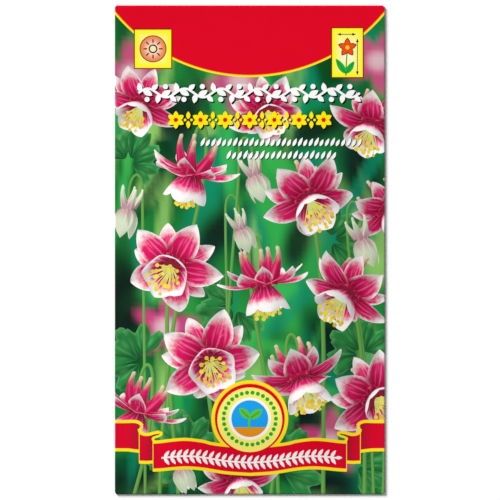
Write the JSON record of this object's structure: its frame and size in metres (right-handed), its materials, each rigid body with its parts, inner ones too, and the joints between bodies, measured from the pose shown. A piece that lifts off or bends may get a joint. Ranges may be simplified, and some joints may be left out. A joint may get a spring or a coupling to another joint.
{
  "type": "seed packet",
  "caption": "Sealed flat paper packet with a printed floral front, folded and glued at the back round a film sachet of loose flower seeds.",
  "frame": {"origin": "under the middle of the back, on the surface that the packet lies on", "axes": "+X to the right of the printed front, +Y towards the packet's top, +Z out of the front"},
  "size_m": [0.08, 0.145, 0.0029],
  "materials": {
    "printed_paper": "satin coated, printed",
    "sachet_film": "milky film",
    "seed_coat": "smooth, glossy black"
  },
  "bodies": {
    "root": {"envelope": "printed_paper", "inner_sachet": "sachet_film", "seed_01": "seed_coat", "seed_02": "seed_coat", "seed_03": "seed_coat", "seed_04": "seed_coat", "seed_05": "seed_coat", "seed_06": "seed_coat", "seed_07": "seed_coat", "seed_08": "seed_coat", "seed_09": "seed_coat", "seed_10": "seed_coat", "seed_11": "seed_coat", "seed_12": "seed_coat", "seed_13": "seed_coat", "seed_14": "seed_coat", "seed_15": "seed_coat", "seed_16": "seed_coat", "seed_17": "seed_coat", "seed_18": "seed_coat", "seed_19": "seed_coat", "seed_20": "seed_coat", "seed_21": "seed_coat", "seed_22": "seed_coat", "seed_23": "seed_coat", "seed_24": "seed_coat", "seed_25": "seed_coat", "seed_26": "seed_coat", "seed_27": "seed_coat", "seed_28": "seed_coat", "seed_29": "seed_coat", "seed_30": "seed_coat", "seed_31": "seed_coat", "seed_32": "seed_coat"}
  },
  "joints": []
}
